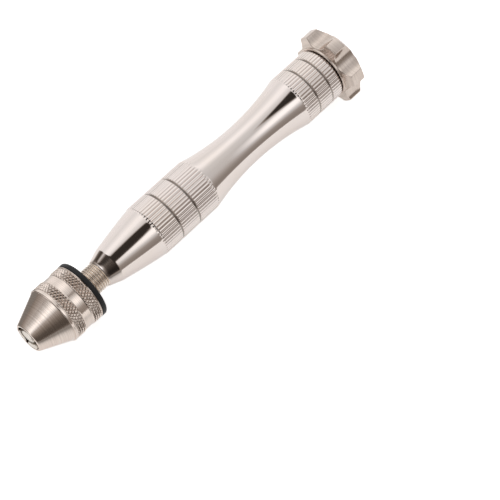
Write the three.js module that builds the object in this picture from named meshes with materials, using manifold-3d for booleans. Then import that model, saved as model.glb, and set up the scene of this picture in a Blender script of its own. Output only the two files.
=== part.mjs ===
// A pin vise drill for model making: a slim hand drill with a keyless three-jaw chuck screwed on its
// nose, and a lobed palm cap on its tail that swivels on a small ball bearing.
// Lengths are in millimetres. The tool lies along +X with its nose towards -X and rests on its cap.
// Places along the tool are measured from the flat face of the nose. Angles round it are measured from
// straight up (+Z) towards -Y.

import * as THREE from 'three';
import { mergeVertices } from 'three/addons/utils/BufferGeometryUtils.js';
import Module from 'manifold-3d';

// Jaws: three round rods in slanted bores, ground to a wedge where they grip the bit.
const jawCount = 3;
const jawTiltDeg = 15;
const jawTurnDeg = 8.6;
const jawRodRadius = 2.4;
const jawAxisAtNose = 1.2;
const jawTipReach = 0.45;
const jawTipFlatRadius = 2.3;
const jawTipDrop = 0.5;
const jawRearChamfer = 0.5;
const bitRadiusAtRest = 0.58;
const bitRadiusOpen = 1.6;

// Chuck sleeve: the nose cone and the two knurled bands that the fingers turn.
const noseWall = 0.6;
const noseLip = 0.5;
const coneLength = 9.3;
const coneStep = 0.19;
const coneWall = 1.15;
const shoulderWidth = 0.8;
const frontKnurlWidth = 3.1;
const sleeveNeckWidth = 2.8;
const sleeveNeckDepth = 0.23;
const rearKnurlWidth = 3.2;
const sleeveWall = 1.07;

// Jaw nut: a split ring pressed into the sleeve, with its cone round the backs of the jaws.
const nutWidth = 2.6;
const nutSetback = 2.2;
const nutRearWall = 0.52;

// Chuck body: carries the jaw bores in front and the threaded hole for the stud behind.
const bodyRecess = 1.6;
const bodyGrooveDepth = 1.5;
const bodyBossWall = 2.5;
const bodyFlangeSkin = 0.05;
const bitPassageRadius = 1.75;

// Rear collar: the black ring behind the sleeve.
const collarWidth = 1.6;
const collarStandout = 0.04;
const collarEdge = 0.45;

// Threaded stud that joins chuck and handle, drawn at its crest radius.
const studRadius = 3.96;
const studInChuck = 4.5;
const studExposed = 5.8;
const studInHandle = 10;
const studEndChamfer = 0.5;

// Handle: one turned bar with two fluted bands and a hollow-turned waist between them.
const handleLip = 0.2;
const neckChamferLength = 3.65;
const neckRise = 1.33;
const bellyLength = 15.65;
const bandRadius = 8.15;
const frontBandLength = 18.97;
const waistLength = 37.15;
const waistRadius = 6.02;
const rearBandLength = 13.57;
const handleEndChamfer = 0.3;
const fluteCount = 48;
const fluteDepth = 0.28;
const fluteHalfWidth = 0.24;
const grooveWidth = 0.65;
const grooveDepth = 0.36;
const bellyAlongShare = 0.776;
const bellyRiseShare = 0.925;
const frontGrooveShares = [0.267, 0.617];
const rearGrooveShares = [0.331, 0.71];
const pivotBossLength = 1.5;

// Ball bearing in the cap, and the pivot screw that holds it on the handle.
const bearingBoreRadius = 2;
const bearingOuterRadius = 5;
const bearingWidth = 3;
const ballCount = 7;
const ballShare = 0.567;
const raceShoulderShare = 0.65;
const cageFrontShare = 0.35;
const cageRearShare = 1.5;
const screwDepth = 7;
const screwHeadHeight = 1.3;
const screwSocketRadius = 1.2;
const screwSocketDepth = 0.8;

// Swivel cap: a lobed disc with a conical front face.
const capGap = 0.43;
const capRadius = 11.3;
const capHubRadius = 8.5;
const capFaceDepth = 1.3;
const capBackWall = 1.33;
const capBackChamfer = 0.5;
const scallopCount = 6;
const scallopTurnDeg = 37;
const scallopRadius = 4.85;
const scallopDepth = 2.75;

// Clearances between pieces, and one overrun for every cutting tool.
const runningGap = 0.1;
const jawBoreGap = 0.1;
const nutConeGap = 0.15;
const noseGap = 0.2;
const pressGap = 0.04;
const endGap = 0.1;
const splitGap = 0.3;
const headRoom = 0.3;
const ballGap = 0.06;
const cageGap = 0.12;
const cutOverrun = 1;

// Facets round the turned pieces, and steps along the curved profiles.
const turnedFacets = fluteCount;
const smallFacets = 32;
const bearingFacets = 28;
const rodFacets = 20;
const scallopFacets = 36;
const socketSides = 6;
const bellySteps = 5;
const waistSteps = 10;
const trackSteps = 4;
const cornerSteps = 3;

// The jaws' slant, and where their axes and outer edges run.
const jawTilt = THREE.MathUtils.degToRad(jawTiltDeg);
const jawHalfSpan = jawRodRadius / Math.cos(jawTilt);
const jawAxisRadius = (place) => jawAxisAtNose + place * Math.tan(jawTilt);
const jawEdgeRadius = (place) => jawAxisRadius(place) + jawHalfSpan;

// Places along the chuck.
const shoulderEnd = coneLength + shoulderWidth;
const frontKnurlEnd = shoulderEnd + frontKnurlWidth;
const sleeveNeckEnd = frontKnurlEnd + sleeveNeckWidth;
const sleeveEnd = sleeveNeckEnd + rearKnurlWidth;
const collarStart = sleeveEnd + endGap;
const chuckEnd = collarStart + collarWidth;
const studFront = chuckEnd - studInChuck;
const studHoleEnd = studFront - endGap;
const nutFront = coneLength - nutSetback;
const nutEnd = nutFront + nutWidth;
const nutRadius = jawEdgeRadius(nutEnd) + nutConeGap + nutRearWall;

// Where the jaws' rear ends stand at rest, and how far out they sweep with the chuck wide open.
const jawRearOpen = studHoleEnd - endGap - jawRodRadius * Math.sin(jawTilt);
const jawTravelToOpen = (bitRadiusOpen - bitRadiusAtRest) / Math.sin(jawTilt);
const jawRearAtRest = jawRearOpen - jawTravelToOpen * Math.cos(jawTilt);
const jawSweepEnd = jawRearOpen - (jawRearChamfer + jawRodRadius * Math.tan(jawTilt)) * Math.cos(jawTilt);
const jawSweepRadius = jawEdgeRadius(jawSweepEnd);

// The body and the sleeve are built round that sweep.
const flangeRadius = jawSweepRadius + bodyFlangeSkin;
const sleeveBoreRadius = flangeRadius + runningGap;
const knurlRadius = sleeveBoreRadius + sleeveWall;
const coneBaseRadius = knurlRadius - coneStep;
const sleeveNeckRadius = knurlRadius - sleeveNeckDepth;
const noseOpeningRadius = jawEdgeRadius(0) + noseGap;
const noseRimRadius = noseOpeningRadius + noseWall;
const coneRadius = (place) => THREE.MathUtils.lerp(noseRimRadius, coneBaseRadius, place / coneLength);
const innerConeEnd = nutFront - pressGap;
const innerConeEndRadius = coneRadius(innerConeEnd) - coneWall;
const innerConeRise = (innerConeEndRadius - noseOpeningRadius) / (innerConeEnd - noseLip);
const innerConeRadius = (place) => noseOpeningRadius + (place - noseLip) * innerConeRise;
const bodyBossRadius = studRadius + bodyBossWall;

// Places along the handle.
const handleFront = chuckEnd + studExposed;
const handleLipRadius = studRadius + handleLip;
const neckEnd = handleFront + neckChamferLength;
const neckRadius = handleLipRadius + neckRise;
const bellyEnd = neckEnd + bellyLength;
const frontBandEnd = bellyEnd + frontBandLength;
const rearBandStart = frontBandEnd + waistLength;
const handleEnd = rearBandStart + rearBandLength;
const studEnd = handleFront + studInHandle;
const grooveRadius = bandRadius - grooveDepth;

// Places along the bearing and the cap.
const capFront = handleEnd + capGap;
const bearingFront = handleEnd + pivotBossLength;
const bearingMiddle = bearingFront + bearingWidth / 2;
const bearingEnd = bearingFront + bearingWidth;
const ballCircleRadius = (bearingBoreRadius + bearingOuterRadius) / 2;
const ballRadius = ballShare * (bearingOuterRadius - bearingBoreRadius) / 2;
const innerShoulderRadius = ballCircleRadius - ballRadius * raceShoulderShare;
const outerShoulderRadius = ballCircleRadius + ballRadius * raceShoulderShare;
const trackRadius = ballRadius + ballGap;
const screwShankRadius = bearingBoreRadius - pressGap;
const screwHeadEnd = bearingEnd + screwHeadHeight;
const capFloor = screwHeadEnd + headRoom;
const capEnd = capFloor + capBackWall;
const scallopCentreRadius = capRadius - scallopDepth + scallopRadius;

// Solids are cut and joined as closed meshes with shared corners.
const manifold = await Module();
manifold.setup();

function closedMesh(geometry) {
  const bare = geometry.clone();
  bare.deleteAttribute('normal');
  bare.deleteAttribute('uv');
  const merged = mergeVertices(bare);
  const corners = merged.index.array;
  const kept = [];
  for (let i = 0; i < corners.length; i += 3) {
    const [a, b, c] = [corners[i], corners[i + 1], corners[i + 2]];
    if (a !== b && b !== c && c !== a) {
      kept.push(a, b, c);
    }
  }
  merged.setIndex(kept);
  return merged;
}

function solid(geometry) {
  const mesh = closedMesh(geometry);
  const vertProperties = new Float32Array(mesh.attributes.position.array);
  const triVerts = new Uint32Array(mesh.index.array);
  return new manifold.Manifold(new manifold.Mesh({ numProp: 3, vertProperties, triVerts }));
}

function surface(body) {
  const mesh = body.getMesh();
  const geometry = new THREE.BufferGeometry();
  geometry.setAttribute('position', new THREE.BufferAttribute(new Float32Array(mesh.vertProperties), 3));
  geometry.setIndex(new THREE.BufferAttribute(new Uint32Array(mesh.triVerts), 1));
  return geometry;
}

// A turned form from a profile of [place, radius] pairs, with its axis along +X.
function turned(profile, facets) {
  const points = profile.map(([place, radius]) => new THREE.Vector2(radius, place));
  return new THREE.LatheGeometry(points, facets).rotateZ(-Math.PI / 2);
}

// A turned ring, whose profile closes on itself.
function turnedRing(profile, facets) {
  return turned([...profile, profile[0]], facets);
}

function barAlongX(radius, from, to, facets) {
  return turned([[from, 0], [from, radius], [to, radius], [to, 0]], facets);
}

// A prism along the tool's axis from an outline of [side, up] pairs.
function prismAlongX(outline, from, to) {
  const shape = new THREE.Shape(outline.map(([side, up]) => new THREE.Vector2(-up, side)));
  const geometry = new THREE.ExtrudeGeometry(shape, { depth: to - from, bevelEnabled: false });
  return geometry.rotateY(Math.PI / 2).translate(from, 0, 0);
}

// A quarter round for a turned profile, from the outer wall to the rear face.
function roundedCorner(place, radius, edge) {
  const points = [];
  for (let i = 0; i <= cornerSteps; i += 1) {
    const angle = (i / cornerSteps) * (Math.PI / 2);
    points.push([place + edge * Math.sin(angle), radius + edge * Math.cos(angle)]);
  }
  return points;
}

// Copies of one form, evenly spread round the tool's axis.
function ringOf(geometry, count, startDeg) {
  const copies = [];
  for (let i = 0; i < count; i += 1) {
    const angle = THREE.MathUtils.degToRad(startDeg) + (i * 2 * Math.PI) / count;
    copies.push(geometry.clone().rotateX(angle));
  }
  return copies;
}

const tool = new THREE.Group();

function addPiece(name, geometry, material) {
  const mesh = new THREE.Mesh(geometry, material);
  mesh.name = name;
  tool.add(mesh);
}

function metal(color, roughness) {
  return new THREE.MeshStandardMaterial({ color, roughness, metalness: 1 });
}

const polishedNickel = metal(0xc9c1b8, 0.18);
const satinNickel = metal(0xb8aea4, 0.36);
const jawSteel = metal(0xd6cdc2, 0.3);
const threadSteel = metal(0xc4b8a6, 0.3);
const bearingSteel = metal(0xc8c8cc, 0.12);
const pressedBrass = metal(0xb8954f, 0.35);
const blackPlastic = new THREE.MeshStandardMaterial({ color: 0x2b2a2c, roughness: 0.55, metalness: 0 });

// Chuck sleeve. The nose cone ends at a low shoulder, and a shallow neck parts the two bands. Inside, a
// cone clears the body, a bore seats the jaw nut and a wider bore runs on the body's flange.
function sleeveGeometry() {
  const seatEnd = nutEnd + endGap;
  const seatRadius = nutRadius + pressGap;
  return turnedRing([
    [0, noseOpeningRadius],
    [0, noseRimRadius],
    [coneLength, coneBaseRadius],
    [coneLength, knurlRadius],
    [frontKnurlEnd, knurlRadius],
    [frontKnurlEnd + sleeveNeckDepth, sleeveNeckRadius],
    [sleeveNeckEnd - sleeveNeckDepth, sleeveNeckRadius],
    [sleeveNeckEnd, knurlRadius],
    [sleeveEnd, knurlRadius],
    [sleeveEnd, sleeveBoreRadius],
    [seatEnd, sleeveBoreRadius],
    [seatEnd, seatRadius],
    [innerConeEnd, seatRadius],
    [innerConeEnd, innerConeEndRadius],
    [noseLip, noseOpeningRadius],
  ], turnedFacets);
}
addPiece('chuck_sleeve', sleeveGeometry(), satinNickel);

// A rod along one jaw's axis, upright at angle zero, from a place before the nose to one behind it.
function jawRod(radius, from, to, chamfer) {
  const cosine = Math.cos(jawTilt);
  const start = from / cosine;
  const end = to / cosine;
  const profile = [
    [start, 0],
    [start, radius],
    [end - chamfer, radius],
    [end, radius - chamfer],
    [end, 0],
  ];
  return turned(profile, rodFacets).rotateY(-jawTilt).translate(0, 0, jawAxisAtNose);
}

// Chuck body. A groove leaves room for the jaw nut, the flange behind it guides the sleeve, and the
// rear boss holds the collar. The jaw bores slant outwards to the rear and break out in the groove.
function bodySolid() {
  const grooveStart = nutFront - endGap;
  const grooveEnd = nutEnd + endGap;
  const coneEndRadius = innerConeRadius(grooveStart) - noseGap;
  const grooveFloor = coneEndRadius - bodyGrooveDepth;
  const blank = solid(turned([
    [bodyRecess, 0],
    [bodyRecess, innerConeRadius(bodyRecess) - noseGap],
    [grooveStart, coneEndRadius],
    [grooveStart, grooveFloor],
    [grooveEnd, grooveFloor],
    [grooveEnd, flangeRadius],
    [sleeveEnd, flangeRadius],
    [sleeveEnd, bodyBossRadius],
    [chuckEnd, bodyBossRadius],
    [chuckEnd, 0],
  ], turnedFacets));
  const studHole = barAlongX(studRadius + runningGap, studHoleEnd, chuckEnd + cutOverrun, smallFacets);
  const bitPassage = barAlongX(bitPassageRadius, 0, studHoleEnd + cutOverrun, rodFacets);
  const jawBore = jawRod(jawRodRadius + jawBoreGap, -jawRodRadius, jawRearOpen + endGap, 0);
  const holes = [studHole, bitPassage, ...ringOf(jawBore, jawCount, jawTurnDeg)];
  return holes.reduce((body, hole) => body.subtract(solid(hole)), blank);
}
addPiece('chuck_body', surface(bodySolid()), satinNickel);

// Jaws. Each is the front of a rod, ground to a wedge that points at the tool's axis, with a low dome on
// its tip and a chamfer behind.
function jawSolid() {
  const rod = solid(jawRod(jawRodRadius, -jawTipReach - jawRodRadius, jawRearAtRest, jawRearChamfer));
  const wedgeSide = knurlRadius * Math.tan(Math.PI / jawCount);
  const wedge = solid(prismAlongX([
    [0, bitRadiusAtRest],
    [wedgeSide, bitRadiusAtRest + knurlRadius],
    [-wedgeSide, bitRadiusAtRest + knurlRadius],
  ], -jawTipReach - cutOverrun, jawRearOpen));
  const dome = solid(turned([
    [-jawTipReach, 0],
    [-jawTipReach, jawTipFlatRadius],
    [jawTipDrop - jawTipReach, noseOpeningRadius],
    [jawTipDrop - jawTipReach, knurlRadius],
    [jawRearOpen, knurlRadius],
    [jawRearOpen, 0],
  ], smallFacets));
  return rod.intersect(wedge).intersect(dome);
}
ringOf(surface(jawSolid()), jawCount, jawTurnDeg).forEach((jaw, index) => {
  addPiece(`jaw_${index + 1}`, jaw, jawSteel);
});

// Jaw nut. One ring with a conical bore, split in two so that it closes round the jaws.
function nutHalfSolid() {
  const ring = solid(turnedRing([
    [nutFront, jawEdgeRadius(nutFront) + nutConeGap],
    [nutFront, nutRadius],
    [nutEnd, nutRadius],
    [nutEnd, jawEdgeRadius(nutEnd) + nutConeGap],
  ], turnedFacets));
  const reach = nutRadius + cutOverrun;
  const side = new THREE.BoxGeometry(nutWidth + 2 * cutOverrun, reach, 2 * reach);
  side.translate((nutFront + nutEnd) / 2, (reach + splitGap) / 2, 0);
  return ring.intersect(solid(side));
}
ringOf(surface(nutHalfSolid()), 2, 0).forEach((half, index) => {
  addPiece(`jaw_nut_half_${index + 1}`, half, jawSteel);
});

// Rear collar, with its back edge rounded.
function collarGeometry() {
  const radius = knurlRadius + collarStandout;
  const bore = bodyBossRadius + runningGap;
  const edge = roundedCorner(chuckEnd - collarEdge, radius - collarEdge, collarEdge);
  return turnedRing([[collarStart, bore], [collarStart, radius], ...edge, [chuckEnd, bore]], turnedFacets);
}
addPiece('rear_collar', collarGeometry(), blackPlastic);

// Stud, with a chamfer at each end.
const studProfile = [
  [studFront, 0],
  [studFront, studRadius - studEndChamfer],
  [studFront + studEndChamfer, studRadius],
  [studEnd - studEndChamfer, studRadius],
  [studEnd, studRadius - studEndChamfer],
  [studEnd, 0],
];
addPiece('chuck_stud', turned(studProfile, smallFacets), threadSteel);

// Handle. The belly swells from the neck to the front band in one ogive, and the waist is one arc.
function bellyProfile() {
  const start = new THREE.Vector2(neckEnd, neckRadius);
  const end = new THREE.Vector2(bellyEnd, bandRadius);
  const bend = new THREE.Vector2(
    THREE.MathUtils.lerp(neckEnd, bellyEnd, bellyAlongShare),
    THREE.MathUtils.lerp(neckRadius, bandRadius, bellyRiseShare),
  );
  return new THREE.QuadraticBezierCurve(start, bend, end).getPoints(bellySteps).map(({ x, y }) => [x, y]);
}

function waistProfile() {
  const depth = bandRadius - waistRadius;
  const half = waistLength / 2;
  const arcRadius = (half * half + depth * depth) / (2 * depth);
  const reach = Math.asin(half / arcRadius);
  const points = [];
  for (let i = 0; i <= waistSteps; i += 1) {
    const angle = THREE.MathUtils.lerp(-reach, reach, i / waistSteps);
    const along = frontBandEnd + half + arcRadius * Math.sin(angle);
    points.push([along, waistRadius + arcRadius * (1 - Math.cos(angle))]);
  }
  return points;
}

function grooveProfiles(start, length, shares) {
  return shares.flatMap((share) => {
    const middle = start + share * length;
    return [
      [middle - grooveWidth / 2, bandRadius],
      [middle - grooveWidth / 4, grooveRadius],
      [middle + grooveWidth / 4, grooveRadius],
      [middle + grooveWidth / 2, bandRadius],
    ];
  });
}

function handleSolid() {
  const studBore = studRadius + pressGap;
  const studBoreEnd = studEnd + endGap;
  const screwHoleEnd = bearingFront - screwDepth - endGap;
  const blank = solid(turned([
    [studBoreEnd, 0],
    [studBoreEnd, studBore],
    [handleFront, studBore],
    [handleFront, handleLipRadius],
    ...bellyProfile(),
    ...grooveProfiles(bellyEnd, frontBandLength, frontGrooveShares),
    ...waistProfile(),
    ...grooveProfiles(rearBandStart, rearBandLength, rearGrooveShares),
    [handleEnd - handleEndChamfer, bandRadius],
    [handleEnd, bandRadius - handleEndChamfer],
    [handleEnd, innerShoulderRadius],
    [bearingFront, innerShoulderRadius],
    [bearingFront, bearingBoreRadius],
    [screwHoleEnd, bearingBoreRadius],
    [screwHoleEnd, 0],
  ], turnedFacets));
  const rootRadius = bandRadius - fluteDepth;
  const rimRadius = bandRadius + cutOverrun;
  const rimHalfWidth = fluteHalfWidth * (rimRadius - rootRadius) / fluteDepth;
  const flute = prismAlongX([
    [0, rootRadius],
    [rimHalfWidth, rimRadius],
    [-rimHalfWidth, rimRadius],
  ], neckEnd, handleEnd + cutOverrun);
  const flutes = ringOf(flute, fluteCount, 0);
  return flutes.reduce((bar, cutter) => bar.subtract(solid(cutter)), blank);
}
addPiece('handle', surface(handleSolid()), polishedNickel);

// Ball bearing. The balls roll in round tracks, which the shoulders of both races stand above.
function trackProfile(side) {
  const reach = Math.acos((ballRadius * raceShoulderShare) / trackRadius);
  const points = [];
  for (let i = 0; i <= trackSteps; i += 1) {
    const angle = THREE.MathUtils.lerp(-reach, reach, i / trackSteps);
    const along = bearingMiddle + trackRadius * Math.sin(angle);
    points.push([along, ballCircleRadius + side * trackRadius * Math.cos(angle)]);
  }
  return points;
}

const innerRaceProfile = [
  [bearingFront, bearingBoreRadius],
  [bearingFront, innerShoulderRadius],
  ...trackProfile(-1),
  [bearingEnd, innerShoulderRadius],
  [bearingEnd, bearingBoreRadius],
];
addPiece('bearing_inner_race', turnedRing(innerRaceProfile, bearingFacets), bearingSteel);

const outerRaceProfile = [
  [bearingFront, outerShoulderRadius],
  [bearingFront, bearingOuterRadius],
  [bearingEnd, bearingOuterRadius],
  [bearingEnd, outerShoulderRadius],
  ...trackProfile(1).reverse(),
];
addPiece('bearing_outer_race', turnedRing(outerRaceProfile, bearingFacets), bearingSteel);

function ballAt(radius) {
  return new THREE.IcosahedronGeometry(radius, 1).translate(bearingMiddle, 0, ballCircleRadius);
}
ringOf(ballAt(ballRadius), ballCount, 0).forEach((ball, index) => {
  addPiece(`bearing_ball_${index + 1}`, ball, bearingSteel);
});

// Cage: a crown whose pockets open towards the handle.
function cageSolid() {
  const start = bearingMiddle - cageFrontShare * ballRadius;
  const end = bearingMiddle + cageRearShare * ballRadius;
  const ring = solid(turnedRing([
    [start, innerShoulderRadius + cageGap],
    [start, outerShoulderRadius - cageGap],
    [end, outerShoulderRadius - cageGap],
    [end, innerShoulderRadius + cageGap],
  ], bearingFacets));
  const pockets = ringOf(ballAt(ballRadius + cageGap), ballCount, 0);
  return pockets.reduce((cage, pocket) => cage.subtract(solid(pocket)), ring);
}
addPiece('bearing_cage', surface(cageSolid()), pressedBrass);

// Pivot screw, with a hex socket in its head.
function screwSolid() {
  const tip = bearingFront - screwDepth;
  const headStart = bearingEnd + pressGap;
  const blank = solid(turned([
    [tip, 0],
    [tip, screwShankRadius],
    [headStart, screwShankRadius],
    [headStart, innerShoulderRadius],
    [screwHeadEnd, innerShoulderRadius],
    [screwHeadEnd, 0],
  ], smallFacets));
  const socketFloor = screwHeadEnd - screwSocketDepth;
  const socket = barAlongX(screwSocketRadius, socketFloor, screwHeadEnd + cutOverrun, socketSides);
  return blank.subtract(solid(socket));
}
addPiece('pivot_screw', surface(screwSolid()), threadSteel);

// Swivel cap. Its bore opens towards the handle: the bearing seats against a shoulder, and the screw
// head turns in the relief behind. Six scallops leave six lobes round the rim.
function capSolid() {
  const seatRadius = bearingOuterRadius + pressGap;
  const seatEnd = bearingEnd + pressGap;
  const reliefRadius = outerShoulderRadius + cageGap;
  const blank = solid(turned([
    [capFloor, 0],
    [capFloor, reliefRadius],
    [seatEnd, reliefRadius],
    [seatEnd, seatRadius],
    [capFront, seatRadius],
    [capFront, capHubRadius],
    [capFront + capFaceDepth, capRadius],
    [capEnd - capBackChamfer, capRadius],
    [capEnd, capRadius - capBackChamfer],
    [capEnd, 0],
  ], turnedFacets));
  const cutter = barAlongX(scallopRadius, capFront - cutOverrun, capEnd + cutOverrun, scallopFacets);
  cutter.translate(0, 0, scallopCentreRadius);
  const scallops = ringOf(cutter, scallopCount, scallopTurnDeg);
  return scallops.reduce((cap, scallop) => cap.subtract(solid(scallop)), blank);
}
addPiece('swivel_cap', surface(capSolid()), polishedNickel);

// The tool is set down with its lowest point on the ground and its middle over the origin.
const extent = new THREE.Box3().setFromObject(tool);
const middle = extent.getCenter(new THREE.Vector3());
tool.position.set(-middle.x, -middle.y, -extent.min.z);

const pinVise = new THREE.Group();
pinVise.add(tool);
export default pinVise;
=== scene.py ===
import math

import bpy
import numpy as np
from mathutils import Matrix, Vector


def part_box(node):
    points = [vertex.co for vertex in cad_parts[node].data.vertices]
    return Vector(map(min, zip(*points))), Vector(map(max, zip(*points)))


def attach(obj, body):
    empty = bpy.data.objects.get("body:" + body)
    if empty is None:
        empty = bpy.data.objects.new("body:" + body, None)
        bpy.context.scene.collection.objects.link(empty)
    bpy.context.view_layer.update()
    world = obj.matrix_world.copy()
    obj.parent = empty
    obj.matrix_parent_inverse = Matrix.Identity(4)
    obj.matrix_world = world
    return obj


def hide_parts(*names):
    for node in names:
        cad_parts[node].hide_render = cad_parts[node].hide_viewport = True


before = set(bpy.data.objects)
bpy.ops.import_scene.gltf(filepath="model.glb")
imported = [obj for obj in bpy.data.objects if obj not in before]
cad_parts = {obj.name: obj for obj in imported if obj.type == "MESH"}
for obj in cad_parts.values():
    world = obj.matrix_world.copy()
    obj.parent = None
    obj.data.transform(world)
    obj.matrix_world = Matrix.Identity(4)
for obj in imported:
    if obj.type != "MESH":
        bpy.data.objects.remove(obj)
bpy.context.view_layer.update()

# ---- Handle -----------------------------------------------------------------------------------
# One turned steel bar, polished and nickel plated. It swells from the stud's socket to a fluted
# grip band, draws in to a waist and ends in a second band. The flutes are rolled in, so their
# ridges stand a little proud of the bar and end in round tips; two ring grooves cross each band.
MM = 0.001
NOSE_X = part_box("chuck_sleeve")[0].x
AXIS_Z = (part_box("chuck_sleeve")[0].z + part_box("chuck_sleeve")[1].z) / 2

HANDLE_FRONT, NECK_END, BELLY_END, HANDLE_END = 26.7, 30.35, 46.0, 115.69
BELLY_PULL_ALONG, BELLY_PULL_OUT = 0.776, 0.925
FRONT_BAND = (43.55, 65.75)
REAR_BAND = (101.3, HANDLE_END)
WAIST = (64.97, 102.12)
LIP_RADIUS, NECK_RADIUS, BAND_RADIUS, WAIST_RADIUS = 4.16, 5.49, 8.15, 6.02
FLUTES = 48
FLUTE_ROOT = 7.87
FLUTE_PITCH = 2 * math.pi * BAND_RADIUS / FLUTES
RIDGE_ROUND = 1.14
RIDGE_FLANK = 0.40
FLANK_SLOPE = 1.17
RING_GROOVES = (51.07, 57.71, 106.61, 111.75)
RING_GROOVE_WIDTH, RING_GROOVE_DEPTH = 0.62, 0.45
STUD_BORE, STUD_BORE_END = 4.0, 36.8
PIVOT_BOSS_RADIUS, PIVOT_BOSS_END = 2.947, 117.19
SCREW_BORE, SCREW_BORE_END = 2.0, 110.09
NO_LIMIT = 20.0
# Added to a count of laps, so that it never falls below nought.
LAPS_AHEAD = 1000


class Wire:
    """A socket of a node tree. Sums on it add Math nodes, and node() adds any other kind."""

    def __init__(self, tree, socket=None):
        self.tree, self.socket = tree, socket

    def node(self, kind, settings=(), inputs=(), output=0):
        made = self.tree.nodes.new(kind)
        for name, value in dict(settings).items():
            if name == "stops":
                ramp = made.color_ramp
                while len(ramp.elements) < len(value):
                    ramp.elements.new(0.5)
                for element, (place, shade) in zip(ramp.elements, value):
                    element.position = place
                    element.color = shade if len(np.shape(shade)) else (shade, shade, shade, 1)
            else:
                setattr(made, name, value)
        for key, value in dict(inputs).items():
            if isinstance(value, Wire):
                self.tree.links.new(value.socket, made.inputs[key])
            else:
                made.inputs[key].default_value = value
        return Wire(self.tree, made.outputs[output])

    def out(self, name):
        return Wire(self.tree, self.socket.node.outputs[name])

    def maths(self, operation, *values, clamp=False):
        settings = {"operation": operation, "use_clamp": clamp}
        return self.node("ShaderNodeMath", settings, dict(enumerate(values)))

    def ease(self, low, high, to_low=0.0, to_high=1.0):
        """Rises smoothly from to_low to to_high while this wire goes from low to high."""
        names = ("Value", "From Min", "From Max", "To Min", "To Max")
        inputs = dict(zip(names, (self, low, high, to_low, to_high)))
        return self.node("ShaderNodeMapRange", {"interpolation_type": "SMOOTHSTEP"}, inputs)

    def mix(self, low, high):
        """Colours low and high, mixed by this wire."""
        return self.node("ShaderNodeMix", {"data_type": "RGBA"}, {0: self, 6: low, 7: high}, 2)

    def __add__(self, other):
        return self.maths("ADD", self, other)

    def __sub__(self, other):
        return self.maths("SUBTRACT", self, other)

    def __rsub__(self, other):
        return self.maths("SUBTRACT", other, self)

    def __mul__(self, other):
        return self.maths("MULTIPLY", self, other)

    def __truediv__(self, other):
        return self.maths("DIVIDE", self, other)

    def __rtruediv__(self, other):
        return self.maths("DIVIDE", other, self)

    __radd__, __rmul__ = __add__, __mul__


def smooth(x, low, high):
    """Rises smoothly from 0 at low to 1 at high."""
    share = np.clip((x - low) / (high - low), 0, 1)
    return share * share * (3 - 2 * share)


def turned(name, rows, turns, closed=False, notes=()):
    """A form turned round the tool's axis. rows holds [place, radius] pairs, where radius may be a
    list with one value for each of turns. notes are point attributes with one value for each row.
    """
    columns = len(turns)
    places = np.array([np.broadcast_to(row[0], columns) for row in rows], float)
    radii = np.array([np.broadcast_to(row[1], columns) for row in rows], float)
    corners = np.stack([
        NOSE_X + places * MM,
        -radii * np.sin(turns) * MM,
        AXIS_Z + radii * np.cos(turns) * MM,
    ], axis=2)
    points, rings, values = [], [], {key: [] for key in dict(notes)}
    for i, ring in enumerate(corners):
        kept = ring[:1] if radii[i].max() < 1e-6 else ring
        first = len(points)
        points.extend(kept.tolist())
        rings.append([first] * columns if len(kept) == 1 else list(range(first, first + columns)))
        for key in values:
            values[key].extend([dict(notes)[key][i]] * len(kept))
    faces = []
    pairs = list(zip(rings, rings[1:])) + ([(rings[-1], rings[0])] if closed else [])
    for low, high in pairs:
        for j in range(columns):
            k = (j + 1) % columns
            face = [low[j], low[k], high[k], high[j]]
            faces.append(list(dict.fromkeys(face)))
    mesh = bpy.data.meshes.new(name)
    mesh.from_pydata(points, [], faces)
    for key, column in values.items():
        mesh.attributes.new(key, "FLOAT", "POINT").data.foreach_set("value", column)
    made = bpy.data.objects.new(name, mesh)
    bpy.context.scene.collection.objects.link(made)
    return made


def shade(made, sharp_degrees, material=None):
    """Smooth shading, with sharp edges where faces meet at more than an angle."""
    if material is not None:
        made.data.materials.clear()
        made.data.materials.append(material)
    made.data.polygons.foreach_set("use_smooth", [True] * len(made.data.polygons))
    made.data.set_sharp_from_angle(angle=math.radians(sharp_degrees))
    made.data.update()


def geometry_tree(name, sizes):
    """A geometry tree with named sizes as inputs. Returns its start, and its inputs by name."""
    tree = bpy.data.node_groups.new(name, "GeometryNodeTree")
    tree.interface.new_socket("Geometry", in_out="INPUT", socket_type="NodeSocketGeometry")
    for size in sizes:
        tree.interface.new_socket(size, in_out="INPUT", socket_type="NodeSocketFloat")
    tree.interface.new_socket("Material", in_out="INPUT", socket_type="NodeSocketMaterial")
    tree.interface.new_socket("Geometry", in_out="OUTPUT", socket_type="NodeSocketGeometry")
    entry = Wire(tree).node("NodeGroupInput")
    return entry, {size: entry.out(size) for size in sizes}


def cylinder_coordinates(start):
    """Each point's place, radius and angle, in millimetres and radians, its side and its height."""
    position = start.node("GeometryNodeInputPosition")
    parts = start.node("ShaderNodeSeparateXYZ", inputs={"Vector": position})
    side, up = parts.out("Y") / MM, (parts.out("Z") - AXIS_Z) / MM
    radius = start.maths("SQRT", side * side + up * up)
    turn = start.maths("ARCTAN2", side * -1, up)
    return (parts.out("X") - NOSE_X) / MM, radius, turn, side, up


def row_value(start, name):
    settings, named = {"data_type": "FLOAT"}, {"Name": name}
    return start.node("GeometryNodeInputNamedAttribute", settings, named)


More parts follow.
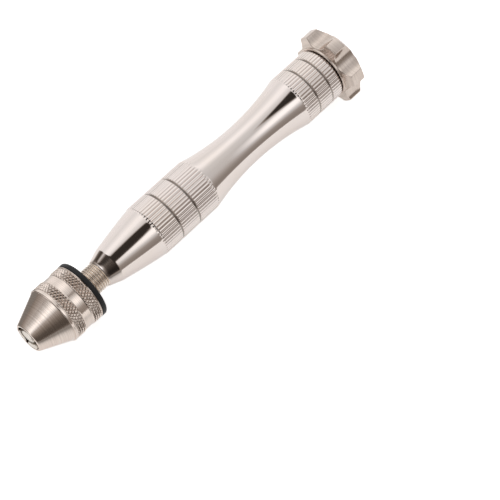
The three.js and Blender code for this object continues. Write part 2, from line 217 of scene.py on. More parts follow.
def set_radius(entry, old_radius, new_radius, side, up, hollow):
    """Moves each point to its new radius, and keeps how deep it lies as the attribute hollow."""
    tree, share = entry.tree, new_radius / entry.maths("MAXIMUM", old_radius, 1e-6)
    position = entry.node("GeometryNodeInputPosition")
    x = entry.node("ShaderNodeSeparateXYZ", inputs={"Vector": position})
    parts = {"X": x, "Y": side * share * MM, "Z": up * share * MM + AXIS_Z}
    target = entry.node("ShaderNodeCombineXYZ", inputs=parts)
    inputs = {"Geometry": entry.out("Geometry"), "Position": target}
    moved = entry.node("GeometryNodeSetPosition", inputs=inputs)
    kept = {"Geometry": moved, "Name": "hollow", "Value": hollow}
    settings = {"data_type": "FLOAT", "domain": "POINT"}
    stored = entry.node("GeometryNodeStoreNamedAttribute", settings, kept)
    real = entry.node("GeometryNodeRealizeInstances", inputs={"Geometry": stored})
    painted = {"Geometry": real, "Material": entry.out("Material")}
    last = entry.node("GeometryNodeSetMaterial", inputs=painted)
    end = tree.nodes.new("NodeGroupOutput")
    tree.links.new(last.socket, end.inputs["Geometry"])


def carved(blank, tree, sizes, material):
    """Gives a blank the plain mesh that a geometry tree makes of it."""
    cutter = blank.modifiers.new("carving", "NODES")
    cutter.node_group = tree
    for item in tree.interface.items_tree:
        if item.in_out == "INPUT" and item.name in sizes:
            cutter[item.identifier] = float(sizes[item.name])
        if item.in_out == "INPUT" and item.name == "Material":
            cutter[item.identifier] = material
    depsgraph = bpy.context.evaluated_depsgraph_get()
    evaluated = blank.evaluated_get(depsgraph)
    mesh = bpy.data.meshes.new_from_object(
        evaluated, preserve_all_data_layers=True, depsgraph=depsgraph
    )
    blank.modifiers.remove(cutter)
    blank.data = mesh
    mesh.name = blank.name


def new_material(name, base, roughness, metallic):
    """A material, its shader and a wire to start from, with its one-value inputs set."""
    made = bpy.data.materials.new(name)
    made.use_nodes = True
    shader = made.node_tree.nodes["Principled BSDF"]
    shader.inputs["Base Color"].default_value = (*base, 1)
    shader.inputs["Roughness"].default_value = roughness
    shader.inputs["Metallic"].default_value = metallic
    return made, shader, Wire(made.node_tree)


def join(wire, shader, socket):
    wire.tree.links.new(wire.socket, shader.inputs[socket])


def turning_marks(start, per_mm, waver):
    """Fine lines round the tool's axis, as a lathe tool or a polishing belt leaves them."""
    place = start.node("ShaderNodeTexCoord").out("Object")
    along = start.node("ShaderNodeSeparateXYZ", inputs={"Vector": place})
    drift = start.node("ShaderNodeTexNoise", inputs={"Vector": place, "Scale": 90.0, "Detail": 2.0})
    line = (along / MM + drift * waver) * per_mm
    settings = {"noise_dimensions": "1D"}
    return start.node("ShaderNodeTexNoise", settings, {"W": line, "Scale": 1.0, "Detail": 3.0})


def clouds(start, scale, detail=3.0):
    place = start.node("ShaderNodeTexCoord").out("Object")
    inputs = {"Vector": place, "Scale": scale, "Detail": detail}
    return start.node("ShaderNodeTexNoise", inputs=inputs)


def bump(start, height, strength, distance_mm):
    inputs = {"Height": height, "Strength": strength, "Distance": distance_mm * MM}
    return start.node("ShaderNodeBump", inputs=inputs)


NICKEL = (0.80, 0.725, 0.69)
NICKEL_WARM = (0.79, 0.71, 0.66)
NICKEL_VALLEY_SHADE = (0.24, 0.205, 0.18)

polished_nickel, shader, start = new_material("polished_nickel", NICKEL, 0.08, 1.0)
hollow = start.node("ShaderNodeAttribute", {"attribute_name": "hollow"}, output="Fac")
cloud = clouds(start, 70.0)
plating = cloud.ease(0.35, 0.7).mix((*NICKEL, 1), (*NICKEL_WARM, 1))
# Painted shade: the base colour darkens towards the bottoms of the flutes and ring grooves, and
# darkest at their deepest, where shade falls.
valley_shade = hollow.ease(0.5, 1.0) * 0.36 + hollow.ease(0.95, 1.0) * 0.44
join(valley_shade.mix(plating, (*NICKEL_VALLEY_SHADE, 1)), shader, "Base Color")
marks = turning_marks(start, 9.0, 0.25)
join(cloud * 0.05 + marks * 0.03 + hollow * 0.14 + 0.035, shader, "Roughness")
join(bump(start, marks, 0.10, 0.004), shader, "Normal")

entry, size = geometry_tree("rolled_flutes", ("Flutes", "Pitch", "Root", "Round", "Flank", "Slope"))
place, radius, turn, side, up = cylinder_coordinates(entry)
lap = entry.maths("FRACT", turn * size["Flutes"] / (2 * math.pi) + LAPS_AHEAD)
off_ridge = entry.maths("ABSOLUTE", lap - 0.5) * size["Pitch"]
fall = off_ridge * off_ridge / (2 * size["Round"])
fall = fall + entry.maths("MAXIMUM", off_ridge - size["Flank"], 0) * size["Slope"]
crest, limit = row_value(entry, "crest"), row_value(entry, "limit")
ridge = entry.maths("MAXIMUM", radius, crest - fall)
ridge = entry.maths("MINIMUM", ridge, limit)
deep = (crest - ridge) / (crest - size["Root"] + 0.02)
deep = entry.maths("MULTIPLY", deep, row_value(entry, "fluted"), clamp=True)
set_radius(entry, radius, ridge, side, up, deep)

arc_half, arc_depth = (WAIST[1] - WAIST[0]) / 2, BAND_RADIUS - WAIST_RADIUS
ARC_RADIUS = (arc_half**2 + arc_depth**2) / (2 * arc_depth)


def bar_radius(x):
    """The bar before its flutes: belly, first band, waist and second band."""
    start, end = np.array([NECK_END, NECK_RADIUS]), np.array([BELLY_END, BAND_RADIUS])
    belly_turn = start + np.array([BELLY_PULL_ALONG, BELLY_PULL_OUT]) * (end - start)
    t = np.linspace(0, 1, 400)[:, None]
    curve = (1 - t) ** 2 * start + 2 * t * (1 - t) * belly_turn + t**2 * end
    belly = np.interp(x, curve[:, 0], curve[:, 1])
    middle = (WAIST[0] + WAIST[1]) / 2
    reach = np.clip(np.abs(x - middle), 0, arc_half)
    waist = WAIST_RADIUS + ARC_RADIUS - np.sqrt(ARC_RADIUS**2 - reach**2)
    return np.where(x < BELLY_END, belly, waist)


TIP_LENGTH, TIP_DROP, CORE_RADIUS = 1.25, 0.30, 7.99
TIP_ZONE, TIP_STEP = 2.2, 0.13
END_BEVEL_START, END_BEVEL_SLOPE = 115.2, 0.6
GROOVE_ZONE, GROOVE_LIP, GROOVE_LIP_DEPTH = 0.62, 1.55, 0.09
CORE_SINK, FLUTE_FADE = (0.15, 1.5), (0.4, 1.3)
x = [NECK_END, *np.linspace(NECK_END + 0.35, FRONT_BAND[0] - 0.2, 26)]
x += [*np.arange(FRONT_BAND[0], FRONT_BAND[0] + TIP_ZONE, TIP_STEP)]
x += [*np.arange(FRONT_BAND[1] - TIP_ZONE, FRONT_BAND[1] + 0.05, TIP_STEP)]
x += [*np.linspace(FRONT_BAND[1] + 0.3, REAR_BAND[0] - 0.3, 44)]
x += [*np.arange(REAR_BAND[0], REAR_BAND[0] + TIP_ZONE, TIP_STEP)]
x += [*np.linspace(HANDLE_END - 0.69, HANDLE_END - 0.3, 4)]
for middle in RING_GROOVES:
    x += [*(middle + np.linspace(-GROOVE_ZONE, GROOVE_ZONE, 17))]
x = np.unique(np.round(x, 3))
bar = bar_radius(x)
inside = np.maximum(np.minimum(x - FRONT_BAND[0], FRONT_BAND[1] - x), x - REAR_BAND[0])
tip = np.clip(inside / TIP_LENGTH, 0, 1)
tip_drop = TIP_DROP * (1 - np.sqrt(1 - (1 - tip) ** 2))
crest = np.where(inside > 0, np.minimum(BAND_RADIUS, bar + 0.03) - tip_drop, 0)
crest = np.where(inside > TIP_LENGTH, BAND_RADIUS, crest)
crest = np.where(x > END_BEVEL_START, BAND_RADIUS - END_BEVEL_SLOPE * (x - END_BEVEL_START), crest)
sink = smooth(inside, *CORE_SINK)
core = np.where(inside > 0, np.minimum(bar, CORE_RADIUS) * (1 - sink) + FLUTE_ROOT * sink, bar)
limit = np.full(len(x), NO_LIMIT)
for middle in RING_GROOVES:
    off = np.abs(x - middle) / (RING_GROOVE_WIDTH / 2)
    bowl = BAND_RADIUS - RING_GROOVE_DEPTH * np.sqrt(np.clip(1 - np.minimum(off, 1) ** 2, 0, 1))
    lip = np.clip((GROOVE_LIP - off) / (GROOVE_LIP - 1), 0, 1)
    shoulder = BAND_RADIUS - GROOVE_LIP_DEPTH * lip**2
    beside = np.where(off < GROOVE_LIP, shoulder, NO_LIMIT)
    limit = np.minimum(limit, np.where(off < 1, bowl, beside))
core = np.minimum(core, limit)
fluted = smooth(inside, *FLUTE_FADE)

front = [[STUD_BORE_END, 0], [STUD_BORE_END, STUD_BORE], [HANDLE_FRONT, STUD_BORE]]
front += [[HANDLE_FRONT, LIP_RADIUS - 0.06], [HANDLE_FRONT + 0.06, LIP_RADIUS]]
for p in np.linspace(HANDLE_FRONT + 0.4, NECK_END - 0.12, 6):
    rise = (NECK_RADIUS - LIP_RADIUS) * (p - HANDLE_FRONT) / (NECK_END - HANDLE_FRONT)
    front.append([p, LIP_RADIUS + rise])
rear = [[HANDLE_END, BAND_RADIUS - 0.35], [HANDLE_END, PIVOT_BOSS_RADIUS]]
rear += [[PIVOT_BOSS_END, PIVOT_BOSS_RADIUS], [PIVOT_BOSS_END, SCREW_BORE]]
rear += [[SCREW_BORE_END, SCREW_BORE], [SCREW_BORE_END, 0]]
rows = front + [[p, r] for p, r in zip(x, core)] + rear
pad_front, pad_rear = [0.0] * len(front), [0.0] * len(rear)
notes = {
    "crest": pad_front + list(crest) + pad_rear,
    "limit": [NO_LIMIT] * len(front) + list(limit) + [NO_LIMIT] * len(rear),
    "fluted": pad_front + list(fluted) + pad_rear,
}
across = np.array([-0.5, -0.375, -0.26, -0.13, 0.0, 0.13, 0.26, 0.375]) + 0.5
turns = np.concatenate([(k + across) * 2 * math.pi / FLUTES for k in range(FLUTES)])
handle = turned("handle_bar", rows, turns, notes=notes)
sizes = {"Flutes": FLUTES, "Pitch": FLUTE_PITCH, "Root": FLUTE_ROOT, "Round": RIDGE_ROUND,
         "Flank": RIDGE_FLANK, "Slope": FLANK_SLOPE}
carved(handle, entry.tree, sizes, polished_nickel)
shade(handle, 38)
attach(handle, "handle")
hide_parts("handle")

# ---- Stud -------------------------------------------------------------------------------------
# A threaded steel stud, M8 x 0.75 right-handed, nickel plated. It is screwed fast into the handle,
# and the chuck turns on its front end.
STUD_FRONT, STUD_END, STUD_CREST = 16.4, 36.7, 3.96
THREAD_PITCH, THREAD_DEPTH, THREAD_FLAT = 0.75, 0.42, 0.16
STUD_COLUMNS = 72

# A painted highlight colour for the thread's crests and a painted shade colour for its valleys.
THREAD_CREST_HIGHLIGHT, THREAD_VALLEY_SHADE = (0.98, 0.88, 0.79, 1), (0.36, 0.28, 0.20, 1)

thread_nickel, shader, start = new_material("thread_nickel", (0.80, 0.70, 0.60), 0.2, 1.0)
hollow = start.node("ShaderNodeAttribute", {"attribute_name": "hollow"}, output="Fac")
worn = clouds(start, 260.0)
# Painted highlight and shade: the thread's crests are painted lighter than nickel, and its valleys
# darker by how deep they lie.
join((hollow.ease(0.5, 1.0) * 0.75).mix(THREAD_CREST_HIGHLIGHT, THREAD_VALLEY_SHADE), shader, "Base Color")
join(worn * 0.12 + hollow * 0.2 + 0.1, shader, "Roughness")
join(bump(start, worn, 0.15, 0.01), shader, "Normal")

entry, size = geometry_tree("screw_thread", ("Pitch", "Depth", "Flat"))
place, radius, turn, side, up = cylinder_coordinates(entry)
lap = entry.maths("FRACT", place / size["Pitch"] - turn / (2 * math.pi) + LAPS_AHEAD)
off_crest = entry.maths("ABSOLUTE", lap - 0.5) * 2
slope = (off_crest - size["Flat"]) / (1 - 2 * size["Flat"])
slope = entry.maths("MULTIPLY", slope, 1, clamp=True)
cut = entry.maths("MINIMUM", slope * row_value(entry, "threaded"), 1)
set_radius(entry, radius, radius - cut * size["Depth"], side, up, slope)

x = np.arange(STUD_FRONT + 0.5, STUD_END - 0.49, THREAD_PITCH / 8)
rows = [[STUD_FRONT, 0], [STUD_FRONT, STUD_CREST - 0.5]] + [[p, STUD_CREST] for p in x]
rows += [[STUD_END, STUD_CREST - 0.5], [STUD_END, 0]]
threaded = [0, 0] + list(smooth(x, STUD_FRONT + 0.5, STUD_FRONT + 0.9)) + [0, 0]
turns = np.linspace(0, 2 * math.pi, STUD_COLUMNS, endpoint=False)
stud = turned("threaded_stud", rows, turns, notes={"threaded": threaded})
sizes = {"Pitch": THREAD_PITCH, "Depth": THREAD_DEPTH, "Flat": THREAD_FLAT}
carved(stud, entry.tree, sizes, thread_nickel)
shade(stud, 60)
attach(stud, "handle")
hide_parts("chuck_stud")

# ---- Bearing and pivot screw ------------------------------------------------------------------
# A small ball bearing, 4 x 10 x 3, with a pressed brass cage. The screw clamps its inner race on
# the tail of the handle, and its outer race carries the cap. None of it shows from outside.
bearing_steel, shader, start = new_material("bearing_steel", (0.76, 0.76, 0.78), 0.1, 1.0)
join(clouds(start, 400.0) * 0.1 + 0.05, shader, "Roughness")
pressed_brass, shader, start = new_material("pressed_brass", (0.66, 0.48, 0.2), 0.32, 1.0)
stain = clouds(start, 300.0)
join(stain.mix((0.72, 0.53, 0.23, 1), (0.52, 0.36, 0.14, 1)), shader, "Base Color")
join(stain * 0.2 + 0.22, shader, "Roughness")
screw_steel, shader, start = new_material("screw_steel", (0.62, 0.57, 0.5), 0.26, 1.0)
join(clouds(start, 500.0) * 0.2 + 0.16, shader, "Roughness")


def repaint(node, material):
    """Gives a solid that stays as it is another material."""
    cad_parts[node].data.materials.clear()
    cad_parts[node].data.materials.append(material)


balls = [f"bearing_ball_{number}" for number in range(1, 8)]
for node in ("bearing_inner_race", "bearing_outer_race", *balls):
    repaint(node, bearing_steel)
repaint("bearing_cage", pressed_brass)
repaint("pivot_screw", screw_steel)

# ---- Swivel cap -------------------------------------------------------------------------------
# A turned steel disc, polished and plated, that rests in the palm. A hub ring stands on its conical
# front face, its back edge is conical, and six scallops milled into its rim leave six lobes.
CAP_FRONT, CAP_END, CAP_RADIUS, HUB_RADIUS = 115.92, 123.12, 11.3, 8.5
HUB_END, CAP_FACE_DEPTH, CAP_BACK_DEPTH, CAP_BACK_RADIUS = 116.5, 0.92, 1.6, 8.7
SCALLOPS, SCALLOP_TURN, SCALLOP_RADIUS, SCALLOP_DEPTH = 6, 37, 4.85, 2.75
CAP_BORE, CAP_BORE_END, CAP_RELIEF, CAP_FLOOR = 5.04, 120.23, 4.17, 121.79
CAP_COLUMNS, CORNER_BLEND = 720, 0.4
CAP_EDGE, HUB_EDGE = 0.14, 0.12

cap_nickel, shader, start = new_material("cap_nickel", NICKEL, 0.16, 1.0)
cloud, streak = clouds(start, 150.0), turning_marks(start, 3.0, 0.3)
plating = cloud.ease(0.3, 0.7).mix((0.70, 0.61, 0.55, 1), (0.60, 0.51, 0.45, 1))
join((streak.ease(0.35, 0.65) * 0.35).mix(plating, (0.50, 0.43, 0.38, 1)), shader, "Base Color")
join(streak * 0.12 + cloud * 0.1 + 0.06, shader, "Roughness")
join(bump(start, streak + cloud, 0.4, 0.02), shader, "Normal")

turns = np.linspace(0, 2 * math.pi, CAP_COLUMNS, endpoint=False)
off = (np.degrees(turns) - SCALLOP_TURN + 30) % (360 / SCALLOPS) - 180 / SCALLOPS
centre = CAP_RADIUS - SCALLOP_DEPTH + SCALLOP_RADIUS
inside = SCALLOP_RADIUS**2 - (centre * np.sin(np.radians(off))) ** 2
scallop = centre * np.cos(np.radians(off)) - np.sqrt(np.maximum(inside, 0))
scallop = np.where(inside > 0, scallop, CAP_RADIUS + 1)
gap = np.clip(CORNER_BLEND - np.abs(scallop - CAP_RADIUS), 0, None)
outline = np.minimum(scallop, CAP_RADIUS) - gap**2 / (4 * CORNER_BLEND)


def face_place(radius):
    """Place of the front face, which leans back from the hub to the rim."""
    share = np.clip((radius - HUB_RADIUS) / (CAP_RADIUS - HUB_RADIUS), 0, 1)
    return HUB_END + CAP_FACE_DEPTH * share


rows = [[CAP_FLOOR, 0], [CAP_FLOOR, CAP_RELIEF]]
rows += [[CAP_BORE_END, CAP_RELIEF], [CAP_BORE_END, CAP_BORE]]
rows += [[CAP_FRONT + 0.1, CAP_BORE], [CAP_FRONT, CAP_BORE + 0.1]]
rows += [[CAP_FRONT, 6.5], [CAP_FRONT, 8.1]]
for angle in (0, 30, 60, 90):
    a = math.radians(angle)
    rows.append([
        CAP_FRONT + HUB_EDGE * (1 - math.cos(a)),
        HUB_RADIUS - 0.02 - HUB_EDGE * (1 - math.sin(a)),
    ])
rows += [[CAP_FRONT + 0.3, HUB_RADIUS - 0.02], [HUB_END - 0.05, HUB_RADIUS - 0.02]]
rows += [[HUB_END, HUB_RADIUS - 0.015]]
for share in (0.03, 0.2, 0.4, 0.6, 0.8, 0.95, 1.0):
    ring = HUB_RADIUS + (outline - CAP_EDGE - HUB_RADIUS) * share
    ring = np.maximum(np.minimum(ring, outline - CAP_EDGE), HUB_RADIUS - 0.012 + 0.01 * share)
    rows.append([face_place(ring), ring])
edge = face_place(outline)
for angle in (30, 60, 90):
    a = math.radians(angle)
    ring = np.maximum(outline - CAP_EDGE * (1 - math.sin(a)), HUB_RADIUS)
    rows.append([edge + CAP_EDGE * (1 - math.cos(a)), ring])
wall_start = edge + CAP_EDGE
back_share = (outline - CAP_BACK_RADIUS) / (CAP_RADIUS - CAP_BACK_RADIUS)
wall_end = CAP_END - CAP_BACK_DEPTH * np.clip(back_share, 0.06, 1)
for share in (0.06, 0.3, 0.6, 0.96):
    rows.append([wall_start + (wall_end - wall_start) * share, outline])
for share in (0.03, 0.3, 0.6, 0.9):
    ring = outline - 0.02 - np.maximum(outline - CAP_BACK_RADIUS, 0.1) * share
    rows.append([wall_end + (CAP_END - wall_end) * share, ring])
rows += [[CAP_END, 8.3], [CAP_END, 4.0], [CAP_END, 0]]
cap = turned("palm_cap", rows, turns)
shade(cap, 30, cap_nickel)
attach(cap, "cap")
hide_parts("swivel_cap")

# ---- Chuck body -------------------------------------------------------------------------------
# A turned steel core, screwed on the stud. It holds the three slanted jaw bores, and the sleeve
# turns on its flange. Only what shows between the jaws and behind the collar is ever seen.
dark_steel, shader, start = new_material("oiled_steel", (0.3, 0.27, 0.24), 0.34, 1.0)
marks = turning_marks(start, 6.0, 0.2)
join(clouds(start, 200.0).mix((0.33, 0.29, 0.25, 1), (0.2, 0.17, 0.15, 1)), shader, "Base Color")
join(marks * 0.15 + 0.26, shader, "Roughness")
repaint("chuck_body", dark_steel)
repaint("jaw_nut_half_1", dark_steel)
repaint("jaw_nut_half_2", dark_steel)

# ---- Jaws -------------------------------------------------------------------------------------
# Three hardened steel rods, each ground to a wedge so that all three close on one line. Their
# domed ends stand bare in the nose. Each slides along its own slanted bore in the chuck body.
JAW_EDGE, JAW_EDGE_ANGLE = 0.09, 24

jaw_steel, shader, start = new_material("jaw_steel", (0.80, 0.75, 0.69), 0.24, 1.0)
grain = clouds(start, 900.0, 4.0)
join(clouds(start, 250.0).mix((0.82, 0.77, 0.71, 1), (0.70, 0.63, 0.56, 1)), shader, "Base Color")
join(grain * 0.2 + 0.16, shader, "Roughness")
join(bump(start, grain, 0.2, 0.01), shader, "Normal")

for number in (1, 2, 3):
    jaw = bpy.data.objects.new(f"jaw_rod_{number}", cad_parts[f"jaw_{number}"].data.copy())
    bpy.context.scene.collection.objects.link(jaw)
    weld = jaw.modifiers.new("weld", "WELD")
    weld.merge_threshold = 0.00001
    rounding = jaw.modifiers.new("rounding", "BEVEL")
    rounding.width, rounding.segments = JAW_EDGE * MM, 3
    rounding.limit_method, rounding.angle_limit = "ANGLE", math.radians(JAW_EDGE_ANGLE)
    rounding.use_clamp_overlap = True
    evaluated = jaw.evaluated_get(bpy.context.evaluated_depsgraph_get())
    jaw.data = bpy.data.meshes.new_from_object(evaluated)
    jaw.modifiers.clear()
    shade(jaw, 40, jaw_steel)
    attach(jaw, f"jaw_{number}")
    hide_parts(f"jaw_{number}")

# ---- Chuck sleeve -----------------------------------------------------------------------------
# A turned steel shell with a fine satin finish under its nickel. The cone ends at a low shoulder,
# and a plain neck parts two bands of diamond knurl that the fingers turn.
OPENING, NOSE_RIM, CONE_END, CONE_BASE = 3.885, 4.485, 9.3, 8.54
KNURL_RADIUS = (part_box("chuck_sleeve")[1].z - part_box("chuck_sleeve")[0].z) / 2 / MM
SHOULDER_END, NECK_START, NECK_STOP, SLEEVE_END = 10.1, 13.2, 16.0, 19.2
SLEEVE_NECK = KNURL_RADIUS - 0.23
KNURL_STARTS, KNURL_LENGTH, KNURL_DEPTH, KNURL_FLAT = 52, 1.4, 0.36, 0.3
KNURL_COLUMNS, KNURL_ROWS, KNURL_RUN_OUT, KNURL_EDGE_DROP = 10, 33, 0.25, 0.14
KNURL_WOBBLE, KNURL_GAP_SHADE = 0.5, (0.16, 0.125, 0.10)
NUT_SEAT, NUT_SEAT_END, SLEEVE_BORE = 6.58, 9.8, KNURL_RADIUS - 1.07
CONE_BORE, CONE_BORE_END = 6.42, 7.06

satin_nickel, shader, start = new_material("satin_nickel", NICKEL_WARM, 0.28, 1.0)
hollow = start.node("ShaderNodeAttribute", {"attribute_name": "hollow"}, output="Fac")
cloud = clouds(start, 120.0)
plating = cloud.ease(0.3, 0.7).mix((0.88, 0.78, 0.71, 1), (0.82, 0.71, 0.64, 1))
streak = turning_marks(start, 2.6, 0.35)
plating = (streak.ease(0.35, 0.65) * 0.45).mix(plating, (0.68, 0.58, 0.51, 1))
# Painted shade: the base colour darkens in the knurl's cut gaps, most where they are cut deepest.
join((hollow.ease(0.5, 1.0) * 0.78).mix(plating, (*KNURL_GAP_SHADE, 1)), shader, "Base Color")
marks = turning_marks(start, 14.0, 0.12)
join(streak * 0.12 + cloud * 0.04 + 0.05, shader, "Roughness")
join(bump(start, marks + streak, 0.3, 0.01), shader, "Normal")

entry, size = geometry_tree("diamond_knurl", ("Starts", "Length", "Depth", "Flat"))
place, radius, turn, side, up = cylinder_coordinates(entry)
wobble = (entry.node("ShaderNodeTexNoise", inputs={"Scale": 420.0}) - 0.5) * KNURL_WOBBLE
cuts = []
for hand in (1, -1):
    lap = turn * size["Starts"] / (2 * math.pi) + place * hand / size["Length"]
    lap = entry.maths("FRACT", lap + wobble * hand + LAPS_AHEAD)
    cuts.append(entry.maths("ABSOLUTE", lap - 0.5) * 2)
deepest = entry.maths("MAXIMUM", cuts[0], cuts[1])
cut = entry.maths("MULTIPLY", (deepest - size["Flat"]) / (1 - size["Flat"]), 1, clamp=True)
weight = row_value(entry, "knurled")
set_radius(entry, radius, radius - cut * weight * size["Depth"], side, up, cut * weight)

# Each row of the profile is its place, its radius and how far it is knurled.
outer = [[0.0, OPENING + 0.08, 0], [0.0, NOSE_RIM - 0.2, 0]]
outer += [[0.04, NOSE_RIM - 0.08, 0], [0.14, NOSE_RIM + 0.02, 0]]
for p in (0.3, 1.2, 2.5, 4.0, 5.5, 7.0, 8.4, 9.1, 9.24):
    outer.append([p, NOSE_RIM + (CONE_BASE - NOSE_RIM) * p / CONE_END, 0])
outer += [[CONE_END, CONE_BASE - 0.03, 0], [CONE_END, KNURL_RADIUS - 0.07, 0]]
outer += [[CONE_END + 0.07, KNURL_RADIUS, 0], [CONE_END + 0.14, KNURL_RADIUS, 0]]
outer += [[SHOULDER_END - 0.26, KNURL_RADIUS, 0], [SHOULDER_END - 0.18, KNURL_RADIUS, 0]]
outer += [[SHOULDER_END - 0.1, KNURL_RADIUS - 0.03, 0]]
outer += [[p, KNURL_RADIUS - 0.16, 0] for p in (SHOULDER_END - 0.03, SHOULDER_END + 0.06)]


def knurled_rows(start_place, end_place):
    """Rows close enough for the diamonds, which run out towards both edges of the band."""
    steps = np.linspace(start_place, end_place, KNURL_ROWS)
    rise = smooth(steps, start_place, start_place + KNURL_RUN_OUT)
    fall = smooth(steps, end_place - KNURL_RUN_OUT, end_place)
    ramp = np.minimum(rise, 1 - fall)
    return [[p, KNURL_RADIUS - KNURL_EDGE_DROP * (1 - w), w] for p, w in zip(steps, ramp)]


outer += knurled_rows(SHOULDER_END + 0.12, NECK_START - 0.05)
outer += [[NECK_START + 0.1, SLEEVE_NECK + 0.03, 0], [NECK_START + 0.18, SLEEVE_NECK, 0]]
outer += [[NECK_START + 0.26, SLEEVE_NECK, 0], [NECK_STOP - 0.26, SLEEVE_NECK, 0]]
outer += [[NECK_STOP - 0.18, SLEEVE_NECK, 0], [NECK_STOP - 0.1, SLEEVE_NECK + 0.03, 0]]
outer += knurled_rows(NECK_STOP + 0.05, SLEEVE_END - 0.28)
outer += [[SLEEVE_END - 0.24, KNURL_RADIUS - 0.15, 0], [SLEEVE_END - 0.18, KNURL_RADIUS - 0.02, 0]]
outer += [[SLEEVE_END - 0.05, KNURL_RADIUS, 0], [SLEEVE_END, KNURL_RADIUS - 0.05, 0]]
inner = [[SLEEVE_END, SLEEVE_BORE, 0], [NUT_SEAT_END, SLEEVE_BORE, 0], [NUT_SEAT_END, NUT_SEAT, 0]]
inner += [[CONE_BORE_END, NUT_SEAT, 0], [CONE_BORE_END, CONE_BORE, 0]]
inner += [[0.5, OPENING, 0], [0.08, OPENING, 0]]
profile = outer + inner
across = np.linspace(0, 1, KNURL_COLUMNS, endpoint=False)
turns = np.concatenate([(k + across) * 2 * math.pi / KNURL_STARTS for k in range(KNURL_STARTS)])
notes = {"knurled": [row[2] for row in profile]}
sleeve = turned("chuck_shell", [row[:2] for row in profile], turns, closed=True, notes=notes)
sizes = {"Starts": KNURL_STARTS, "Length": KNURL_LENGTH, "Depth": KNURL_DEPTH, "Flat": KNURL_FLAT}
carved(sleeve, entry.tree, sizes, satin_nickel)
shade(sleeve, 32)
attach(sleeve, "sleeve")
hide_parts("chuck_sleeve")

# ---- Rear collar ------------------------------------------------------------------------------
# A moulded ring of black plastic, pressed on the chuck body behind the sleeve to keep dust out.
COLLAR_START, COLLAR_END, COLLAR_RADIUS, COLLAR_BORE = 19.3, 20.9, KNURL_RADIUS + 0.04, 6.56
COLLAR_ROUND = 0.55

black_plastic, shader, start = new_material("black_plastic", (0.02, 0.018, 0.019), 0.38, 0.0)
grain = clouds(start, 1500.0, 4.0)
cloud = clouds(start, 180.0)
join(cloud.mix((0.014, 0.013, 0.014, 1), (0.024, 0.023, 0.024, 1)), shader, "Base Color")
join(grain * 0.2 + 0.38, shader, "Roughness")
join(bump(start, grain, 0.25, 0.02), shader, "Normal")
shader.inputs["Specular IOR Level"].default_value = 0.3

rows = [[COLLAR_START, COLLAR_BORE], [COLLAR_START, COLLAR_RADIUS - 0.12]]
rows += [[COLLAR_START + 0.04, COLLAR_RADIUS - 0.04], [COLLAR_START + 0.12, COLLAR_RADIUS]]
for angle in np.linspace(0, 90, 9):
    a = math.radians(angle)
    rows.append([
        COLLAR_END - COLLAR_ROUND * (1 - math.sin(a)),
        COLLAR_RADIUS - COLLAR_ROUND * (1 - math.cos(a)),
    ])
rows += [[COLLAR_END, 7.4], [COLLAR_END, COLLAR_BORE + 0.1], [COLLAR_END - 0.1, COLLAR_BORE]]
collar = turned("dust_collar", rows, np.linspace(0, 2 * math.pi, 144, endpoint=False), closed=True)
shade(collar, 40, black_plastic)
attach(collar, "collar")
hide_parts("rear_collar")

# ---- Studio -----------------------------------------------------------------------------------
# The tool lies on a white table that touches its cap and its collar. Large soft lamps stand over
# it; between them is the dark shape of the camera, which the polished metal shows as black streaks.
FLOOR_SIZE, FLOOR_TOUCH_X, FLOOR_RISE = 1.6, 0.0561, 0.0259
TABLE_WHITE, TABLE_SHADED = (0.9, 0.9, 0.9), (0.16, 0.14, 0.12)

floor_white, shader, start = new_material("white_table", TABLE_WHITE, 0.9, 0.0)
shader.inputs["Specular IOR Level"].default_value = 0.0
shader.inputs["Emission Color"].default_value = (1, 1, 1, 1)
rays = start.node("ShaderNodeLightPath")
seen = start.maths("MAXIMUM", rays.out("Is Camera Ray"), rays.out("Is Transmission Ray"))
# Painted light and a painted shadow, seen only in the metal's reflections: there the table glows,
# and round the chuck it is painted dark, except close beside its nose.
place = start.node("ShaderNodeTexCoord").out("Object")
parts = start.node("ShaderNodeSeparateXYZ", inputs={"Vector": place})
aside = parts.out("Y")
beside_nose = aside.ease(-0.06, -0.004, 0.15, 1.0) * aside.ease(0.022, 0.009, 0.1, 1.0)
open_floor = start.maths("MAXIMUM", parts.out("X").ease(-0.055, -0.03), beside_nose)
mirrored = rays.out("Is Glossy Ray")
join(seen * 0.72 + mirrored * (open_floor * 0.37 + 0.05), shader, "Emission Strength")
join((mirrored * (1 - open_floor)).mix((*TABLE_WHITE, 1), (*TABLE_SHADED, 1)), shader, "Base Color")
mesh = bpy.data.meshes.new("table")
half = FLOOR_SIZE / 2
mesh.from_pydata([(sx * half, sy * half, -FLOOR_RISE * (sx * half - FLOOR_TOUCH_X)) for sx, sy in
                  ((-1, -1), (1, -1), (1, 1), (-1, 1))], [], [(0, 1, 2, 3)])
mesh.materials.append(floor_white)
table = bpy.data.objects.new("table", mesh)
bpy.context.scene.collection.objects.link(table)

world = bpy.data.worlds.new("studio")
bpy.context.scene.world = world
world.use_nodes = True
start = Wire(world.node_tree)
direction = start.node("ShaderNodeTexCoord").out("Generated")
parts = start.node("ShaderNodeSeparateXYZ", inputs={"Vector": direction})
along, lean = parts.out("X"), start.maths("ARCTAN2", parts.out("Y") * -1, parts.out("Z"))
lap = lean / (2 * math.pi) + 0.5


def by_lean(stops):
    """A value by the angle round the tool from straight up, in degrees."""
    places = [((angle + 180) / 360, value) for angle, value in stops]
    return start.node("ShaderNodeValToRGB", {"stops": places}, {"Fac": lap})


def grey(ramp):
    return start.node("ShaderNodeSeparateColor", inputs={"Color": ramp})


LAMP_LEVEL, STRIP_LEVEL, SHADE_LEVEL, NOSE_LEVEL = 1.25, 0.7, 0.95, 1.38

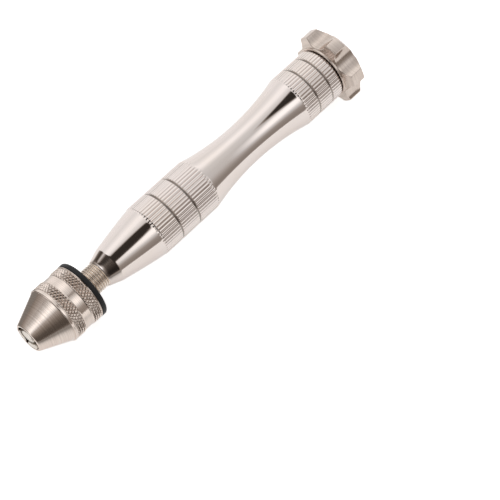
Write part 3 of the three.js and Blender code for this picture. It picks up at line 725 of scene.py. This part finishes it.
# The soft lamps round the tool, brightest above its far side.
tent = grey(by_lean([
    (-180, 0.72), (-99, 0.80), (-81, 0.78), (-66, 0.72), (-53, 0.80), (-40, 0.93), (-29, 0.90),
    (-18, 0.72), (-8, 0.60), (2, 0.58), (13, 0.54), (23, 0.52), (33, 0.51), (43, 0.47), (53, 0.39),
    (63, 0.31), (74, 0.25), (86, 0.22), (92, 0.40), (98, 0.53), (110, 0.58), (125, 0.70),
    (143, 0.79), (180, 0.75),
])) * LAMP_LEVEL
# A narrow lamp beside the camera.
strip = grey(by_lean([(18, 0.0), (27, 0.7), (36, 1.0), (44, 0.95), (54, 0.35), (66, 0.0)]))
strip = strip * (along.ease(-0.32, 0.06) * along.ease(0.6, 0.2)) * STRIP_LEVEL
# The dark shape of the camera and what holds it, up to an edge that is given round the tool.
edge = grey(by_lean([
    (-180, 0.45), (-102, 0.45), (-70, 0.42), (-52, 0.22), (-37, 0.25), (-29, 0.29), (-19, 0.33),
    (-9, 0.45), (-3, 0.61), (2, 0.74), (8, 0.79), (14, 0.72), (19, 0.62), (24, 0.57), (29, 0.48),
    (34, 0.36), (75, 0.33), (85, 0.2), (95, 0.05), (103, 0.0), (180, 0.0),
])) - 0.5
camera_shade = (edge - along).ease(-0.09, 0.09)
# What stands beyond the nose, which the chuck's cone mirrors.
nose = grey(by_lean([
    (-180, 0.9), (-165, 0.62), (-135, 0.5), (-101, 0.16), (-83, 0.21), (-65, 0.3), (-46, 0.44),
    (-26, 0.64), (-12, 0.92), (-3, 0.96), (6, 0.7), (17, 0.33), (38, 0.16), (59, 0.08), (80, 0.06),
    (99, 0.17), (118, 0.35), (136, 0.55), (154, 0.63), (171, 0.82), (180, 0.9),
])) * NOSE_LEVEL
nose_edge = grey(by_lean([
    (-180, 0.42), (-118, 0.42), (-100, 0.40), (-80, 0.33), (-60, 0.22), (-45, 0.12), (-30, 0.09),
    (60, 0.09), (80, 0.17), (100, 0.23), (118, 0.29), (136, 0.38), (154, 0.46), (180, 0.46),
])) - 0.5
toward_nose = (nose_edge - along).ease(-0.05, 0.07)
light = (tent + strip) * (1 - camera_shade * SHADE_LEVEL)
light = light * (1 - toward_nose) + nose * toward_nose
rays = start.node("ShaderNodeLightPath")
seen = start.maths("MAXIMUM", rays.out("Is Camera Ray"), rays.out("Is Transmission Ray"))
background = world.node_tree.nodes["Background"]
DIM_TINT, WHITE = (1.0, 0.84, 0.72, 1), (1, 1, 1, 1)
tint = start.maths("MAXIMUM", light.ease(0.0, 0.75), seen).mix(DIM_TINT, WHITE)
join(tint, background, "Color")
join(light * (1 - seen) + seen, background, "Strength")

CAMERA_PLACE = Vector((-0.19618, -0.2076, 0.4995))
CAMERA_AIM = Vector((0.00172, -0.02147, 0.0033))
camera = bpy.data.objects.new("camera", bpy.data.cameras.new("camera"))
bpy.context.scene.collection.objects.link(camera)
camera.data.lens, camera.data.sensor_width = 147.6, 36
camera.data.clip_start, camera.data.clip_end = 0.01, 20
camera.location = CAMERA_PLACE
camera.rotation_euler = (CAMERA_AIM - CAMERA_PLACE).to_track_quat("-Z", "Y").to_euler()
bpy.context.scene.camera = camera
bpy.context.scene.view_settings.view_transform = "Standard"
